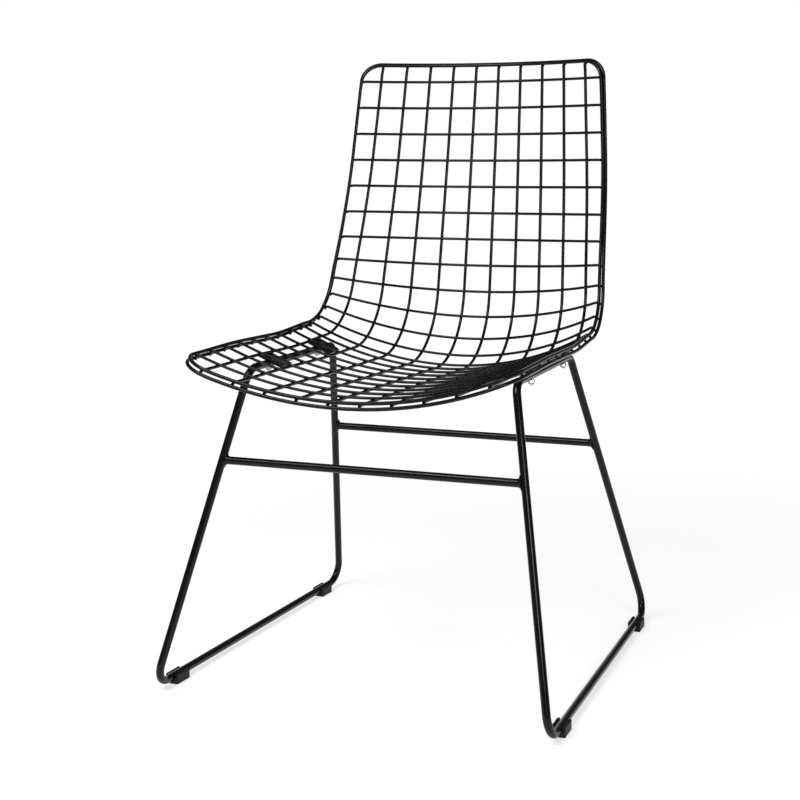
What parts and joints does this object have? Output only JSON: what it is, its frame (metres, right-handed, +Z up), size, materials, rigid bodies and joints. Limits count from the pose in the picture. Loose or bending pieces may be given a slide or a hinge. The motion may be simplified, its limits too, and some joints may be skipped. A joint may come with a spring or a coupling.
{
  "type": "wire mesh dining chair",
  "caption": "Dining chair: one dished shell of welded wire mesh makes seat and back, bolted on two bent rod side frames joined by stretchers, with plastic floor glides.",
  "frame": {"origin": "on the floor, under the middle of the chair", "axes": "+Z up; the sitter faces -Y; +X is the sitter's left"},
  "size_m": [0.5654, 0.582, 0.8516],
  "materials": {
    "black_coat": "black powder coat, satin",
    "bright_zinc": "bright zinc plated steel",
    "black_plastic": "black nylon, matt"
  },
  "bodies": {
    "root": {"cross_wire_01": "black_coat", "cross_wire_02": "black_coat", "cross_wire_03": "black_coat", "cross_wire_04": "black_coat", "cross_wire_05": "black_coat", "cross_wire_06": "black_coat", "cross_wire_07": "black_coat", "cross_wire_08": "black_coat", "cross_wire_09": "black_coat", "cross_wire_10": "black_coat", "cross_wire_11": "black_coat", "cross_wire_12": "black_coat", "cross_wire_13": "black_coat", "cross_wire_14": "black_coat", "cross_wire_15": "black_coat", "cross_wire_16": "black_coat", "cross_wire_17": "black_coat", "cross_wire_18": "black_coat", "cross_wire_19": "black_coat", "cross_wire_20": "black_coat", "cross_wire_21": "black_coat", "cross_wire_22": "black_coat", "long_wire_01": "black_coat", "long_wire_02": "black_coat", "long_wire_03": "black_coat", "long_wire_04": "black_coat", "long_wire_05": "black_coat", "long_wire_06": "black_coat", "long_wire_07": "black_coat", "long_wire_08": "black_coat", "long_wire_09": "black_coat", "long_wire_10": "black_coat", "rim_rod_upper": "black_coat", "rim_rod_lower": "black_coat", "side_frame_left": "black_coat", "side_frame_right": "black_coat", "front_stretcher": "black_coat", "rear_stretcher": "black_coat", "mounting_plate_front_left": "black_coat", "mounting_plate_rear_left": "black_coat", "mounting_plate_front_right": "black_coat", "mounting_plate_rear_right": "black_coat", "shell_bolts": "bright_zinc", "cap_nuts": "bright_zinc", "glide_front_left": "black_plastic", "glide_rear_left": "black_plastic", "glide_front_right": "black_plastic", "glide_rear_right": "black_plastic"}
  },
  "joints": []
}
